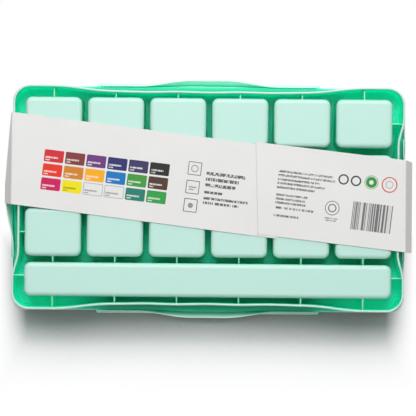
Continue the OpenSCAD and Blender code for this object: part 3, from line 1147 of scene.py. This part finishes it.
@dataclass
class Lid:
    """The lid: a shallow cover with a sunk panel and a finger wing on each side."""

    layout: Layout
    finish: MouldedPlastic
    end_lip: float = 3.0
    side_lip: float = 1.2
    radius: float = 12.0
    panel_inset: float = 16.0
    ledge_z: float = 33.5
    ledge_round: float = 0.4
    long_wing: Wing = Wing(91.0, 6.8, (13.0, 58.0))
    short_wing: Wing = Wing(52.0, 8.0, (2.0, 42.0))
    wing_z: float = 27.5
    wing_rise: float = 4.5
    ledge_reach: float = 3.6
    lip_less: float = 2.0
    lip_start: float = 0.9
    lip_tail: float = 6.0
    root_part: float = 0.2
    lid_gap: float = 0.1

    def build(self) -> None:
        """Builds the lid and gives it to the cover."""
        lay, shell = self.layout, Shell()
        self._cover(shell)
        for side in Side:
            if side in (Side.BACK, Side.FRONT):
                half, past, wing = lay.case_w / 2, self.side_lip, self.long_wing
            else:
                half, past, wing = lay.case_l / 2, self.end_lip, self.short_wing
            self._ledge(shell, side, half, past, wing.half)
            self._lip(shell, side, half, wing)
        settle(shell.finish("lid_shell", self.finish.material()), Body.COVER, "lid_plastic", "lid")

    def _cover(self, shell: Shell) -> None:
        """The cover itself, inside and out, with painted light and shade; its rim is painted deep where it lies
        behind a wing.

        Args:
            shell: the mesh in the making.
        """
        lay, wall, inset = self.layout, self.layout.wall, 2 * self.panel_inset
        outline = Outline(lay.case_l + 2 * self.end_lip, lay.case_w + 2 * self.side_lip, self.radius, steps=12)
        panel = Profile(Outline(lay.case_l - inset, lay.case_w - inset, 6.0, steps=12))
        top, inside, low = lay.lid_top_z, lay.lid_top_z - wall, lay.deck_z + self.lid_gap
        profile = Profile(outline).add(0.4, (-wall - 1.5, inside))
        profile.bend(0.85, -wall - 1.2, inside - 1.2, 1.2, (90, 0, 5)).add(0.85, (-wall, low + 0.5))
        profile.bend(0.35, 0.35 - wall, low + 0.35, 0.35, (180, 270, 3))
        profile.bend(0.2, -0.35, low + 0.35, 0.35, (270, 360, 3))
        profile.add(0.25, (0, low + 2.0)).add(0.3, (0, top - 2.0))
        profile.bend(0.2, -1.5, top - 1.5, 1.5, (0, 90, 7)).add(0.2, (-1.9, top))
        for grow, z in ((1.2, 0), (0.8, 0), (0.5, -0.08), (0.25, -0.4), (0, -0.5), (-0.4, -0.5)):
            panel.add(0.28, (grow, top + z))
        shell.loft(profile.rings + panel.rings, cap_start=True, cap_end=True)
        rim_z = low + 1.0
        edges = [e for e in shell.bm.edges if e.calc_length() > 60.0 and all(v.co.z < rim_z for v in e.verts)]
        bmesh.ops.subdivide_edges(shell.bm, edges=edges, cuts=48, use_grid_fill=True)
        for vert in shell.bm.verts:
            x, y = abs(vert.co.x), abs(vert.co.y)
            if vert.co.z > rim_z or max(x - lay.case_l / 2, y - lay.case_w / 2) < -2.0:
                continue
            # Painted light and shade: deep green on the rim behind the wings, pale past the case's ends.
            if x < self.long_wing.half - self.lip_less or y < self.short_wing.half - self.lip_less:
                vert[shell.depth] = 0.95
            elif x > lay.case_l / 2 + 0.8:
                vert[shell.depth] = 0.0

    def _ledge(self, shell: Shell, side: Side, half: float, past: float, wing_half: float) -> None:
        """The plain ledge that a wing hangs from.

        Args:
            shell: the mesh in the making.
            side: the side of the case.
            half: from the middle of the case to its skirt on that side.
            past: how far the lid reaches past the skirt there.
            wing_half: half the wing's length.
        """
        low, top, edge = self.ledge_z, self.ledge_z + self.layout.wall, self.ledge_round
        back, end_r = half + past - 0.65, (self.ledge_reach - past) / 2 + 0.4
        stations = []
        for s in self._stations(wing_half, end_r):
            tuck = max(abs(s) - (wing_half - end_r), 0.0) / end_r
            out = half + past + (self.ledge_reach - past) * math.sqrt(max(1 - tuck * tuck, 0.0004)) - edge
            section = [(back, top)] + [(out + a, top - edge + b) for a, b in arc(edge, 90, 0, 3)]
            section += [(out + a, low + edge + b) for a, b in arc(edge, 0, -90, 3)] + [(back, low)]
            stations.append(([side.point(s, u, z) for u, z in section], 0.2))
        shell.loft(stations, True, True)

    def _lip(self, shell: Shell, side: Side, half: float, wing: Wing) -> None:
        """The lip of one wing, which flares out under its ledge.

        Args:
            shell: the mesh in the making.
            side: the side of the case.
            half: from the middle of the case to its skirt on that side.
            wing: its sizes.
        """
        wall, tail, steps, high_z = self.layout.wall, self.lip_tail, 6, self.ledge_z + 0.3
        tip_r, lip_half = wall / 2, wing.half - self.lip_less
        stations = []
        for s in self._stations(lip_half, tail):
            out = swell(s, *wing.flare)
            low = self.lip_start + (wing.reach - wall - self.lip_start) * out
            root = self.lip_start + self.root_part * (low - self.lip_start)
            tuck = max(abs(s) - (lip_half - tail), 0.0) / tail
            low_z = self.wing_z + self.wing_rise * (1 - math.sqrt(max(1 - tuck * tuck, 0.0)))
            parts = [i / steps for i in range(steps + 1)]
            inner = [
                (half + root + (low - root) * part**1.35, high_z + (low_z + tip_r - high_z) * part) for part in parts
            ]
            tip = [(half + low + tip_r + a, low_z + tip_r + b) for a, b in arc(tip_r, 0, -180, 6)][1:-1]
            points = [(u + wall, z) for u, z in inner] + tip + inner[::-1]
            ring = shell.ring([side.point(s, u, z) for u, z in points], 0.0)
            # Painted light and shade: the inside is deep green at the root and pale at the tip where the wing flares;
            # the outside stays pale.
            for k, (vert, (_, z)) in enumerate(zip(ring, points)):
                climb = (z - low_z) / (high_z - low_z)
                inside = k >= len(inner) + len(tip)
                vert[shell.depth] = max(max(climb, 0.0) ** 1.7, 0.7 - 0.9 * out) if inside else 0.3 * climb
            stations.append(ring)
        shell.join(stations)
        shell.bm.faces.new(stations[0][::-1])
        shell.bm.faces.new(stations[-1])

    def _stations(self, half: float, end: float) -> list[float]:
        """Spaces the sections of a wing, closer together at its ends.

        Args:
            half: half its length.
            end: the length of each end.

        Returns:
            The places along it.
        """
        middle = list(np.linspace(-(half - end), half - end, 61))
        tail = [half - end * (1 - math.sin(i * math.pi / 16)) for i in range(1, 9)]
        return [-s for s in tail[::-1]] + middle + tail


@dataclass
class Palette:
    """The mixing palette: a thin white plate with one row of small and two rows of large dishes."""

    layout: Layout
    finish: MouldedPlastic
    length: float = 309.3
    width: float = 175.2
    radius: float = 11.9
    base_z: float = 31.3
    top_z: float = 35.2
    sheet: float = 0.9
    web: float = 6.0
    dish_r: float = 7.0
    fillet_out: float = 1.6
    fillet_in: float = 1.9
    small_w: float = 42.0

    def build(self) -> None:
        """Builds the palette and gives it to its body."""
        shell, sheet, top, low = Shell(), self.sheet, self.top_z, self.base_z
        under = top - sheet
        plate = Profile(Outline(self.length, self.width, self.radius, steps=10))
        # Depth values paint shade: the plate's underside and edge a little darker than its top.
        plate.add(0.5, (-sheet - 0.9, under), (-sheet - 0.5, under), (-sheet, under - 0.5))
        plate.add(0.4, (-sheet, low + 0.3)).bend(0.3, -sheet / 2, low + sheet / 2, sheet / 2, (180, 360, 5))
        plate.bend(0.1, -1.0, top - 1.0, 1.0, (0, 90, 5)).add(0.1, (-1.4, top))
        shell.planes([shell.loft(plate.rings)] + [self._dish(shell, dish) for dish in self._dishes()])
        piece = shell.finish("palette_plate", self.finish.material())
        settle(piece, Body.PALETTE, "palette_plastic", "mixing_palette")

    def _dishes(self) -> list[Outline]:
        """Lays out the dishes.

        Returns:
            Their outlines.
        """
        large_w = (self.width - self.small_w - 4 * self.web) / 2
        front = -self.width / 2 + self.web + large_w / 2
        rows = (
            (8, self.small_w, self.width / 2 - self.web - self.small_w / 2),
            (4, large_w, front + large_w + self.web),
            (4, large_w, front),
        )
        dishes = []
        for count, width, y in rows:
            pitch = self.length / count
            places = [((i - (count - 1) / 2) * pitch, y) for i in range(count)]
            dishes += [Outline(pitch - self.web, width, self.dish_r, place) for place in places]
        return dishes

    def _dish(self, shell: Shell, dish: Outline) -> tuple[Ring, Ring]:
        """One dish.

        Args:
            shell: the mesh in the making.
            dish: its outline.

        Returns:
            The loops in the plate's underside and in its top.
        """
        top, under, low, inner = self.top_z, self.top_z - self.sheet, self.base_z + 0.15, -self.sheet
        floor, r_out, r_in = low + self.sheet, self.fillet_out, self.fillet_in
        # Depth values paint shade: darker under the dish and down its inner wall.
        outside = Profile(dish).add(0.5, (0.7, under), (0.3, under), (0.0, under - 0.3))
        outside.bend(0.4, -r_out, low + r_out, r_out, (0, -90, 5)).add(0.4, (-2.0, low))
        inside = Profile(dish).add(0.1, (inner + 1.0, top), (inner + 0.7, top), (inner + 0.2, top - 0.2))
        inside.add(0.2, (inner, top - 0.7)).bend(0.3, inner - r_in, floor + r_in, r_in, (0, -90, 6))
        inside.add(0.25, (inner - 2.3, floor))
        return shell.loft(outside.rings, cap_end=True)[0], shell.loft(inside.rings, cap_end=True)[0]


@dataclass
class CupSet:
    """Eighteen cups of gouache, each under its peel-off film."""

    layout: Layout
    cup_finish: MouldedPlastic
    clearance: float = 0.5
    cup_t: float = 0.8
    fillet_in: float = 1.2
    fillet_out: float = 1.8
    flange_out: float = 0.2
    flange_t: float = 1.0
    base_z: float = 2.6
    base_t: float = 0.9
    paint_z: float = 28.0
    film_t: float = 0.15
    film_lift: float = 0.01
    tab: float = 9.6

    def build(self) -> None:
        """Builds every cup with its paint and film."""
        plastic, film = self.cup_finish.material(), SealFilm().material()
        for number, paint in zip(self.layout.numbers(), Paint):
            self._cup(number, plastic)
            self._paint(number, Gouache(number, paint.wet).material())
            self._film(number, film, paint.wet)

    def _body(self, number: int) -> Profile:
        """The start of a profile on the outline of one cup's body."""
        lay, less = self.layout, 2 * (self.layout.wall + self.clearance)
        return Profile(Outline(lay.well_l - less, lay.well_w - less, 3.2, lay.cup_place(number), 6))

    def _flat(self, number: int, grow: float, radius: float) -> Profile:
        """The start of a profile on a well's outline, grown by an amount all round."""
        lay = self.layout
        return Profile(Outline(lay.well_l + 2 * grow, lay.well_w + 2 * grow, radius, lay.cup_place(number), 6))

    def _solid(self, name: str, rings: Rings, material: bpy.types.Material) -> bpy.types.Object:
        """A closed piece from its rings.

        Args:
            name: of the piece.
            rings: points and depth of painted light and shade of each ring.
            material: its finish.

        Returns:
            The piece.
        """
        shell = Shell()
        shell.loft(rings, cap_start=True, cap_end=True)
        return shell.finish(name, material)

    def _cup(self, number: int, material: bpy.types.Material) -> None:
        """One cup: up its inside, over its flange and down its outside.

        Args:
            number: the cup's number.
            material: its finish.
        """
        wall, low, deck = self.cup_t, self.base_z, self.layout.deck_z
        floor, top = low + self.base_t, deck + self.flange_t
        r_in, r_out = self.fillet_in, self.fillet_out
        inside, flange, outside = self._body(number), self._flat(number, self.flange_out, 5.0), self._body(number)
        # Depth values paint shade: darker down in the cup and under it, pale over the flange.
        inside.add(0.5, (-wall - 1.6, floor)).bend(0.5, -wall - r_in, floor + r_in, r_in, (-90, 0, 4))
        inside.add(0.1, (-wall, top - 0.5), (0.15 - wall, top - 0.12), (0.5 - wall, top))
        flange.add(0.1, (-0.3, top), (-0.05, top - 0.1), (0, top - 0.35), (0, deck + 0.15), (-0.15, deck))
        outside.add(0.3, (0.3, deck), (0.0, deck - 0.3)).bend(0.2, -r_out, low + r_out, r_out, (0, -90, 5))
        outside.add(0.1, (-2.2, low))
        piece = self._solid(f"cup_body_{number:02d}", inside.rings + flange.rings + outside.rings, material)
        settle(piece, Body.CUPS, "cup_plastic", f"cup_{number:02d}")

    def _paint(self, number: int, material: bpy.types.Material) -> None:
        """The gouache in one cup, whose surface clings to the wall and swells a little inside.

        Args:
            number: the cup's number.
            material: its finish.
        """
        wall, floor, top = self.cup_t + 0.02, self.base_z + self.base_t, self.paint_z
        fill = self._body(number).add(0.0, (-wall - 1.4, floor + 0.02), (-wall - 0.3, floor + 0.4))
        fill.add(0.0, (-wall, floor + 1.4), (-wall, top))
        for inset, lift in ((0.3, -0.2), (0.9, -0.5), (1.8, -0.65), (4.0, -0.6), (8.0, -0.45), (12.0, -0.35)):
            fill.add(0.0, (-wall - inset, top + lift + 0.1 * math.sin(number * 2.1 + inset * 0.8)))
        piece = self._solid(f"gouache_fill_{number:02d}", fill.rings, material)
        settle(piece, Body.CUPS, f"gouache_{number:02d}", f"paint_{number:02d}")

    def _film(self, number: int, material: bpy.types.Material, code: str) -> None:
        """The film on one cup with its round pull tab.

        Args:
            number: the cup's number.
            material: its finish.
            code: the colour of its printed patch.
        """
        low, high = self.layout.deck_z + self.flange_t, self.layout.deck_z + self.flange_t + self.film_t
        film = self._flat(number, -0.2, 4.6)
        for inset, lift in ((14, -0.16), (5, -0.12), (1.4, 0), (0, 0)):
            film.add(0.0, (-inset, low + self.film_lift + lift))
        for inset, lift in ((0, 0), (1.4, 0.0), (2.6, -0.05), (5.0, -0.12), (9.0, -0.15), (14.0, -0.16)):
            film.add(0.0, (-inset, high + lift))
        shell, size, (x, y) = Shell(), film.outline, self.layout.cup_place(number)
        shell.loft(film.rings, cap_start=True, cap_end=True)
        spot = (x + size.length / 2 - 4, y - size.width / 2 + 3.6)
        tab = Profile(Outline(self.tab, self.tab, self.tab / 2, spot, 6))
        tab.add(0.0, (-1.6, low + 0.012), (0, low + 0.012), (0, high + 0.01), (-1.6, high + 0.03))
        shell.loft(tab.rings, cap_start=True, cap_end=True)
        piece = shell.finish(f"seal_{number:02d}", material)
        verts = piece.data.vertices
        mark(piece.data, "film_at", "FLOAT_VECTOR", [(v.co.x / MM - x, v.co.y / MM - y, 0.0) for v in verts])
        mark(piece.data, "tint", "FLOAT_COLOR", np.tile(linear(code), len(verts)))
        settle(piece, Body.CUPS, "seal_film", f"foil_{number:02d}")


class Zone(Enum):
    """Which run of the card a point lies on."""

    OUTER = 0
    OVER = 1
    END = 2
    INNER = 3


@dataclass
class CardBand:
    """The card band: one strip folded round the case and glued where it laps under the bottom."""

    layout: Layout
    finish: PrintedCard
    thick: float = 0.4
    width: float = 73.2
    angle: float = 6.45
    middle_y: float = 13.0
    lap_low: float = -40.0
    lap_lean: float = 2.4
    lap_drop: float = 1.65
    bend_most: float = 2.2
    across: int = 24

    def __post_init__(self) -> None:
        """Works out the slant and where the strip's outer half meets the skirt's foot."""
        self.slope, self.lean = math.tan(math.radians(self.angle)), math.cos(math.radians(self.angle))
        self.foot = self.layout.case_l / 2

    def build(self) -> None:
        """Builds the band and gives it to its body."""
        shell = Shell()
        grids: list[list[Ring]] = [[], []]
        prints: list[Point] = []
        for j in range(self.across + 1):
            share = j / self.across
            path = self._path(share)
            for side, grid in enumerate(grids):
                grid.append(shell.ring([self._point(path, i, share, side) for i in range(len(path))], 0.0))
                prints += [self._print_at(x, z, zone, share, side) for x, z, zone in path]
        for grid in grids:
            shell.join(grid, closed=False)
        for j in (0, self.across):
            shell.bridge(grids[0][j], grids[1][j], closed=False)
        for end in (0, -1):
            shell.bridge(*([row[end] for row in grid] for grid in grids), closed=False)
        shell.bm.verts.index_update()
        piece = shell.finish("card_band", self.finish.material(), 50.0, heal=0.0)
        mark(piece.data, "print_at", "FLOAT_VECTOR", prints)
        settle(piece, Body.BAND, "printed_card", "sleeve")

    def _corners(self, share: float) -> list[tuple[float, float, float, int, Zone]]:
        """The folds of the strip's middle line.

        Args:
            share: the way across the strip, from its front edge to its back edge.

        Returns:
            X, Z, bend radius, steps to the next fold, and zone of the run that starts there.
        """
        case, outer, over, end, inner = self.foot, *Zone
        foot, full, top_x, ledge = case + 0.7, case + 8.6, case + 3.45, case + 4.1
        low_z, lap_z, lip_z, ledge_z, top_z = 0.2, 0.62, 27.5, 35.3, self.layout.lid_top_z + 0.3
        flare = float(np.interp(share, (0, 0.2, 0.8, 1), (full, full, ledge + 1.2, top_x + 0.5)))
        near = float(np.interp(share, (0, 0.8, 1), (ledge, ledge, top_x + 0.2)))
        lap = self.lap_low + self.lap_lean * share
        return [
            (lap, low_z, 0, 40, outer),
            (-foot, low_z, 1.0, 8, end),
            (-full, lip_z, 2.0, 4, end),
            (-ledge, ledge_z, 1.0, 4, end),
            (-top_x, top_z, 0.9, 80, over),
            (top_x, top_z, 0.9, 4, end),
            (near, ledge_z, 1.0, 4, end),
            (flare, lip_z, 2.0, 8, end),
            (foot, low_z, 1.0, 60, inner),
            (lap + 9, low_z, 4.0, 3, inner),
            (lap + 3, lap_z, 4.0, 6, inner),
            (lap - 15, lap_z, 0, 0, inner),
        ]

    def _path(self, share: float) -> list[tuple[float, float, Zone]]:
        """The middle line with its folds rounded.

        Args:
            share: the way across the strip.

        Returns:
            X, Z and zone of each point.
        """
        corners = self._corners(share)
        places = [Vector(corner[:2]) for corner in corners]
        bends = []
        for i, (here, corner) in enumerate(zip(places, corners)):
            if corner[2] == 0:
                bends.append([here])
                continue
            before, after = ((places[i + k] - here).normalized() for k in (-1, 1))
            turn = math.acos(max(-1.0, min(1.0, before.dot(after))))
            cut = min(corner[2] / max(math.tan(turn / 2), 0.05), self.bend_most)
            first, last = here + before * cut, here + after * cut
            steps = (0, 0.2, 0.4, 0.6, 0.8, 1)
            bends.append([first * (1 - t) ** 2 + here * 2 * t * (1 - t) + last * t * t for t in steps])
        path = []
        earlier = corners[0][4]
        for i, (bend, (*_, steps, zone)) in enumerate(zip(bends, corners)):
            path += [(*point, zone if k >= len(bend) / 2 else earlier) for k, point in enumerate(bend)]
            path += [(*bend[-1].lerp(bends[i + 1][0], k / steps), zone) for k in range(1, steps)]
            earlier = zone
        return path

    def _print_at(self, x: float, z: float, zone: Zone, share: float, side: int) -> Point:
        """Where a point lies on the flat print, and which side of the case it belongs to.

        Args:
            x: of the point; runs under and over the case keep it on the flat card.
            z: of the point, which counts on the ends.
            zone: the point's run.
            share: the way across the strip.
            side: 0 for the printed face and 1 for the inner one.

        Returns:
            p, q and a number: 0 under the case, 1 over it, 2 at its ends, 3 inside.
        """
        run = math.copysign(self.foot + 0.7 + z, x) if zone is Zone.END else x
        q = (share - 0.5) * self.width - (self._drop(run) if zone is Zone.INNER else 0.0)
        mirrored = 1 if zone is Zone.OVER else -1
        return (mirrored * (run / self.lean + q * self.slope), q, 3.0 if side else float(zone.value % 3))

    def _point(self, path: list[tuple[float, float, Zone]], i: int, share: float, side: int) -> Point:
        """A point on a face of the card.

        Args:
            path: the strip's middle line.
            i: the point's place in it.
            share: the way across the strip.
            side: 0 for the printed face and 1 for the inner one.

        Returns:
            The point.
        """
        x, z, zone = path[i]
        before, after = path[max(i - 1, 0)], path[min(i + 1, len(path) - 1)]
        along = Vector((after[0] - before[0], after[1] - before[1])).normalized()
        shift = self.thick / 2 * (1 if side else -1)
        y = self.middle_y + x * self.slope + (share - 0.5) * self.width / self.lean
        return (x + along.y * shift, y - (self._drop(x) if zone is Zone.INNER else 0.0), z - along.x * shift)

    def _drop(self, x: float) -> float:
        """How far the half under the lap hangs off true at an X."""
        return self.lap_drop * min(max((self.foot - x) / (self.foot - self.lap_low), 0.0), 1.0)


# --------------------------------------------------------------------------- studio


@dataclass
class Studio:
    """Camera, lamps, pale world, and two white sheets that only the camera sees.

    One sheet lies under the case and shows from above. The other lies behind the lid, shows from below, and is the
    table of the main picture, where the case lies on its lid. Its pairs say where it starts to whiten, and how far
    it takes to be white. Near the case it has a painted shadow. Lamps are place, size in metres and power in watts.
    """

    eye: Point = (0.00024, -0.026, -1.5)
    target: Point = (0.00024, -0.00774, 0.0)
    roll: float = 0.55
    lens: float = 162.3
    ambient: float = 0.18
    lift: float = 0.04
    matt_to: float = 0.14
    white_from: float = 0.34
    half: float = 2.2
    nook: float = 0.06
    nook_from: float = 0.56
    painted_shadow_colour: tuple[float, ...] = (0.125, 0.115, 0.11, 1.0)
    white_end: Pair = (0.1465, 0.024)
    white_front: Pair = (-0.113, 0.045)
    white_back: Pair = (-0.072, 0.045)
    floor_z: float = -0.0006
    table_z: float = 0.0411
    lamps: tuple[tuple[str, Point, float, float], ...] = (
        ("key_below", (0.05, 0.74, -1.42), 0.8, 22.5),
        ("fill_below", (0.0, -0.8, -1.3), 0.8, 2.6),
        ("key_above", (0.55, -0.75, 1.4), 0.8, 22.0),
        ("fill_left", (-1.6, 0.2, 0.1), 1.0, 5.5),
        ("fill_right", (1.6, -0.2, 0.1), 1.0, 4.0),
        ("fill_front", (0.2, -1.6, 0.5), 1.0, 3.5),
        ("fill_back", (-0.2, 1.6, -0.1), 1.0, 14.0),
    )

    def build(self) -> None:
        """Builds the studio."""
        bpy.context.scene.view_settings.view_transform = "Standard"
        self._camera()
        self._world()
        for name, place, size, power in self.lamps:
            data = bpy.data.lights.new(name, "AREA")
            data.shape, data.size, data.energy = "SQUARE", size, power
            lamp = new_object(name, data)
            lamp.location = place
            lamp.rotation_euler = (-Vector(place)).to_track_quat("-Z", "Y").to_euler()
        floor = self._sheet("floor_sheet", self.floor_z, True)
        table = self._sheet("table_sheet", self.table_z, False)
        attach(table, Body.COVER.value)
        LOG.info("studio ready")

    def _camera(self) -> None:
        """The camera of the photograph, looking up at the underside."""
        camera = new_object("main_camera", bpy.data.cameras.new("main_camera"))
        camera.data.lens, camera.data.sensor_width = self.lens, 36.0
        camera.data.clip_start, camera.data.clip_end = 0.05, 20.0
        back = (Vector(self.eye) - Vector(self.target)).normalized()
        turn = math.radians(self.roll)
        right = Vector((-math.cos(turn), math.sin(turn), 0.0))
        right = (right - back * right.dot(back)).normalized()
        rows = [[*row] for row in zip(right, back.cross(right), back, self.eye)]
        camera.matrix_world = Matrix(rows + [[0.0, 0.0, 0.0, 1.0]])
        bpy.context.scene.camera = camera

    def _world(self) -> None:
        """A pale world that looks white to the camera."""
        world = bpy.data.worlds.new("studio_world")
        world.use_nodes = True
        graph = Graph(world.node_tree)
        path = graph.node("ShaderNodeLightPath").outputs
        camera, through, gloss = (
            Wire(graph, path[f"Is {kind} Ray"]) for kind in ("Camera", "Transmission", "Glossy")
        )
        light = graph.wire("ShaderNodeBackground", {"Color": (0.97, 0.99, 1.0, 1.0), "Strength": self.ambient})
        white = graph.wire("ShaderNodeBackground", {"Color": (1.0, 1.0, 1.0, 1.0), "Strength": 1.0})
        graph.end(graph.blend(camera.at_least(through).at_least(gloss), light, white), "World")
        bpy.context.scene.world = world

    def _table_shade(self, graph: Graph, place: Wire, matt: Wire) -> tuple[Wire, Wire]:
        """How white the table is, and its matt shader with a painted soft shadow close to the case.

        Args:
            graph: the sheet's graph.
            place: object coordinates.
            matt: the plain matt shader.

        Returns:
            The share of pure white, and the shader for the rest.
        """
        right, up, _ = graph.parts(place)
        (end, end_run), (front, front_run), (back, back_run) = self.white_end, self.white_front, self.white_back
        ends = (abs(right - 0.001) - end) / end_run
        bright = ends.at_least((front - up) / front_run).at_least((up - back) / back_run)
        # Painted shadow: a dark matt sheet mixed in wherever ambient occlusion finds the case close.
        dark = graph.wire("ShaderNodeBsdfDiffuse", {"Color": self.painted_shadow_colour})
        nook = graph.wire("ShaderNodeAmbientOcclusion", {"Distance": self.nook}, "AO", samples=12)
        return bright, graph.blend(((nook - self.nook_from) / (1 - self.nook_from)).clamped(), dark, matt)

    def _sheet(self, name: str, z: float, faces_up: bool) -> bpy.types.Object:
        """A white sheet that shows only from one side and only to the camera.

        Args:
            name: its name.
            z: its height in metres.
            faces_up: whether it shows from above.

        Returns:
            The object.
        """
        material, graph = new_graph(f"{name}_white")
        behind = graph.wire("ShaderNodeNewGeometry", None, "Backfacing")
        matt = graph.wire("ShaderNodeBsdfDiffuse", {"Color": (0.98, 0.98, 0.98, 1.0)})
        white = graph.wire("ShaderNodeEmission", {"Color": (1.0, 1.0, 1.0, 1.0), "Strength": 1.0})
        place = graph.place()
        if faces_up:
            far = graph.wire("ShaderNodeVectorMath", {0: place}, "Value", operation="LENGTH")
            bright = (far - self.matt_to) / (self.white_from - self.matt_to)
        else:
            bright, matt = self._table_shade(graph, place, matt)
        sheen = graph.blend(bright.at_least(self.lift).at_most(1.0), matt, white)
        graph.end(graph.blend(behind, sheen, graph.wire("ShaderNodeBsdfTransparent")))
        mesh = bpy.data.meshes.new(name)
        corners = [(x * self.half, y * self.half, z) for x, y in ((-1, -1), (1, -1), (1, 1), (-1, 1))]
        mesh.from_pydata(corners, [], [(0, 1, 2, 3) if faces_up else (3, 2, 1, 0)])
        mesh.materials.append(material)
        sheet = new_object(name, mesh)
        sheet.visible_diffuse = sheet.visible_glossy = sheet.visible_transmission = sheet.visible_shadow = False
        return sheet


def main() -> None:
    """Builds every sub-assembly in order."""
    logging.basicConfig(level=logging.INFO, format="%(name)s: %(message)s")
    layout = Layout()
    # The stops paint light and shade by depth: pale where open and lit, vivid green where light comes through, the
    # tray darkest at its deepest; lit is painted light given off.
    green = MouldedPlastic(
        "tray_plastic",
        ((0.0, "#bbe0d5"), (0.24, "#86ebcd"), (0.48, "#1be6b0"), (0.8, "#00f8b8"), (1.0, "#00b47c")),
        glow=0.9,
        lit=(0.0, 0.25, 0.15),
    )
    frosted = MouldedPlastic(
        "lid_plastic",
        ((0.0, "#d3ebe4"), (0.24, "#a8ecd6"), (0.48, "#3fe6b6"), (0.8, "#00eeaa")),
        glow=0.8,
        lit=(0.0, 0.2, 0.11),
    )
    white = MouldedPlastic("palette_plastic", ((0.0, "#f3f4f1"), (0.8, "#dfe4e0")), 0.3)
    milky = MouldedPlastic("cup_plastic", ((0.0, "#eef1f0"), (0.8, "#cfd8d5")), 0.3)
    Studio().build()
    Tray(layout, green).build()
    CupSet(layout, milky).build()
    Palette(layout, white).build()
    Lid(layout, frosted).build()
    CardBand(layout, PrintedCard()).build()


if __name__ == "__main__":
    main()
